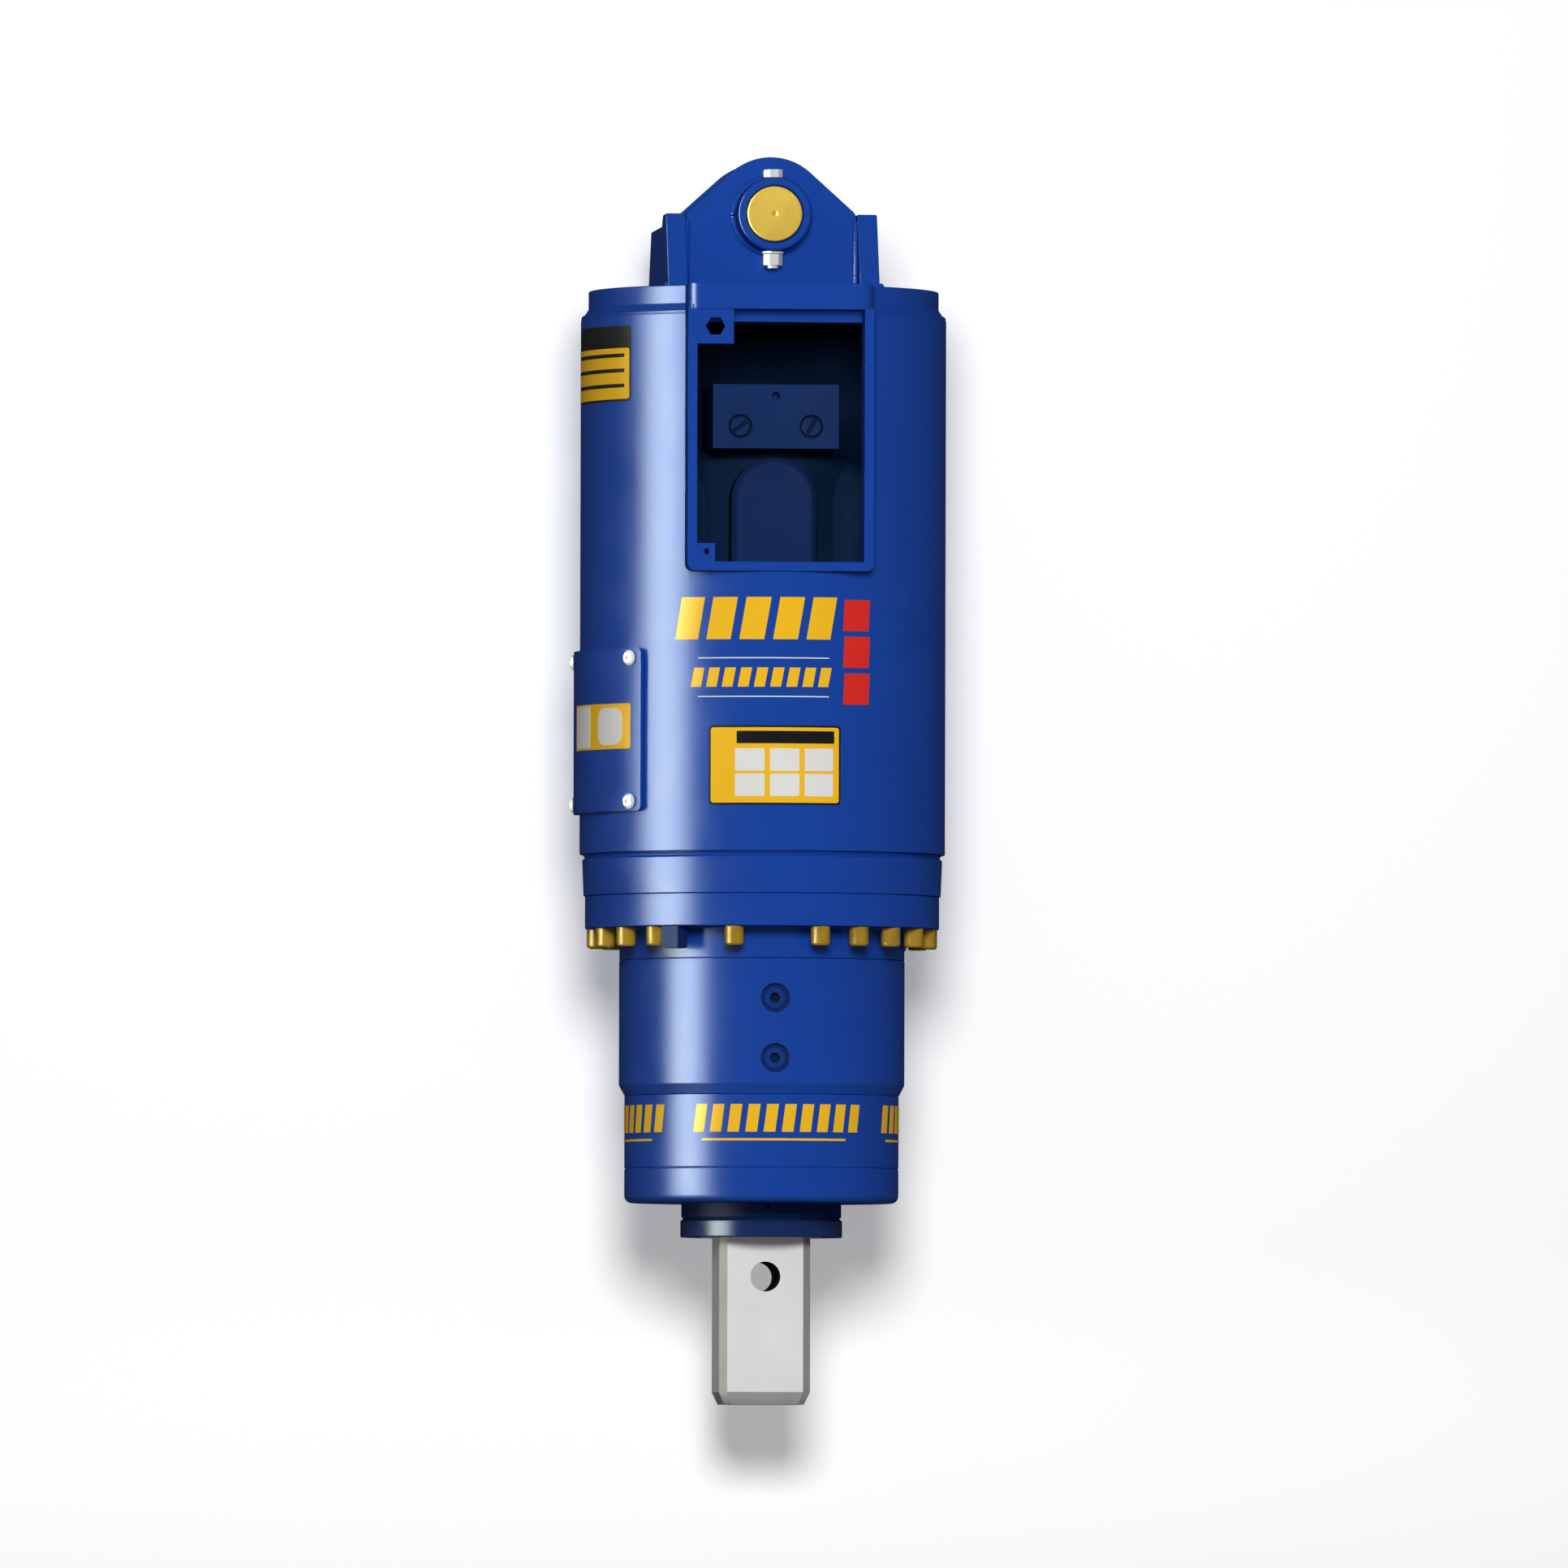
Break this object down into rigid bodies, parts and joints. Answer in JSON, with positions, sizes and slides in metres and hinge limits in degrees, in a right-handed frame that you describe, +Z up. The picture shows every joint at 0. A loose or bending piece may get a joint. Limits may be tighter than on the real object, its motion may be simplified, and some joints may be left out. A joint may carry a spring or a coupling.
{
  "type": "earth auger drive",
  "caption": "Hydraulic auger drive: hooded motor on a planetary gearbox, hung from a pinned hitch, driving a square output shaft with a cross hole.",
  "frame": {"origin": "centre of the hitch pin, halfway between the two ears", "axes": "+Z up along the drive's axis, -Y towards the hose window, +X to the right of it, and the pin lies along Y"},
  "size_m": [0.4097, 0.404, 1.3616],
  "materials": {
    "blue_paint": "gloss",
    "yellow_zinc": "yellow zinc plate",
    "white_zinc": "white zinc plate",
    "ground_steel": "ground",
    "gear_steel": "cut and ground",
    "motor_casting": "matt paint",
    "motor_port_steel": "machined",
    "seal_rubber": "matt"
  },
  "bodies": {
    "housing": {"hood_tube": "blue_paint", "hood_top_plate": "blue_paint", "front_ear": "blue_paint", "rear_ear": "blue_paint", "left_gusset": "blue_paint", "right_gusset": "blue_paint", "hitch_pin": "yellow_zinc", "pin_lock_bolt": "white_zinc", "pin_lock_nut": "white_zinc", "window_frame": "blue_paint", "side_cover": "blue_paint", "side_cover_bolt_1": "white_zinc", "side_cover_bolt_2": "white_zinc", "side_cover_bolt_3": "white_zinc", "side_cover_bolt_4": "white_zinc", "hood_base_ring": "blue_paint", "gearbox_flange": "blue_paint", "flange_bolt_01": "yellow_zinc", "flange_bolt_02": "yellow_zinc", "flange_bolt_03": "yellow_zinc", "flange_bolt_04": "yellow_zinc", "flange_bolt_05": "yellow_zinc", "flange_bolt_06": "yellow_zinc", "flange_bolt_07": "yellow_zinc", "flange_bolt_08": "yellow_zinc", "flange_bolt_09": "yellow_zinc", "flange_bolt_10": "yellow_zinc", "flange_bolt_11": "yellow_zinc", "flange_bolt_12": "yellow_zinc", "flange_bolt_13": "yellow_zinc", "flange_bolt_14": "yellow_zinc", "flange_bolt_15": "yellow_zinc", "flange_bolt_16": "yellow_zinc", "flange_bolt_17": "yellow_zinc", "flange_bolt_18": "yellow_zinc", "flange_bolt_19": "yellow_zinc", "flange_bolt_20": "yellow_zinc", "flange_bolt_21": "yellow_zinc", "flange_bolt_22": "yellow_zinc", "gear_case": "blue_paint", "fill_plug": "yellow_zinc", "level_plug": "yellow_zinc", "bearing_case": "blue_paint", "upper_bearing": "gear_steel", "lower_bearing": "gear_steel", "seal_carrier": "blue_paint", "shaft_seal": "seal_rubber", "motor_body": "motor_casting", "motor_port_block": "motor_port_steel"},
    "output": {"output_shaft": "ground_steel", "second_carrier": "gear_steel"},
    "second_planet_1": {"second_planet_1": "gear_steel"},
    "second_planet_2": {"second_planet_2": "gear_steel"},
    "second_planet_3": {"second_planet_3": "gear_steel"},
    "middle": {"first_carrier": "gear_steel", "second_sun": "gear_steel"},
    "first_planet_1": {"first_planet_1": "gear_steel"},
    "first_planet_2": {"first_planet_2": "gear_steel"},
    "first_planet_3": {"first_planet_3": "gear_steel"},
    "input": {"input_pinion": "gear_steel"}
  },
  "joints": [
    {"name": "output_spin", "type": "hinge", "parent": "housing", "child": "output", "pos_m": [0, 0, -1.2], "axis": [0, 0, 1], "continuous": true},
    {"name": "second_planet_1_spin", "type": "hinge", "parent": "output", "child": "second_planet_1", "pos_m": [0, -0.081, -0.8953], "axis": [0, 0, 1], "continuous": true},
    {"name": "second_planet_2_spin", "type": "hinge", "parent": "output", "child": "second_planet_2", "pos_m": [0.07015, 0.0405, -0.8953], "axis": [0, 0, 1], "continuous": true},
    {"name": "second_planet_3_spin", "type": "hinge", "parent": "output", "child": "second_planet_3", "pos_m": [-0.07015, 0.0405, -0.8953], "axis": [0, 0, 1], "continuous": true},
    {"name": "middle_spin", "type": "hinge", "parent": "housing", "child": "middle", "pos_m": [0, 0, -0.8563], "axis": [0, 0, 1], "continuous": true},
    {"name": "first_planet_1_spin", "type": "hinge", "parent": "middle", "child": "first_planet_1", "pos_m": [0, -0.075, -0.8303], "axis": [0, 0, 1], "continuous": true},
    {"name": "first_planet_2_spin", "type": "hinge", "parent": "middle", "child": "first_planet_2", "pos_m": [0.06495, 0.0375, -0.8303], "axis": [0, 0, 1], "continuous": true},
    {"name": "first_planet_3_spin", "type": "hinge", "parent": "middle", "child": "first_planet_3", "pos_m": [-0.06495, 0.0375, -0.8303], "axis": [0, 0, 1], "continuous": true},
    {"name": "input_spin", "type": "hinge", "parent": "housing", "child": "input", "pos_m": [0, 0, -0.77], "axis": [0, 0, 1], "continuous": true}
  ],
  "couplings": [
    {"joint": "second_planet_1_spin", "follows": "output_spin", "ratio": -2.8},
    {"joint": "second_planet_2_spin", "follows": "output_spin", "ratio": -2.8},
    {"joint": "second_planet_3_spin", "follows": "output_spin", "ratio": -2.8},
    {"joint": "middle_spin", "follows": "output_spin", "ratio": 4.5},
    {"joint": "first_planet_1_spin", "follows": "output_spin", "ratio": -12},
    {"joint": "first_planet_2_spin", "follows": "output_spin", "ratio": -12},
    {"joint": "first_planet_3_spin", "follows": "output_spin", "ratio": -12},
    {"joint": "input_spin", "follows": "output_spin", "ratio": 22.5}
  ]
}
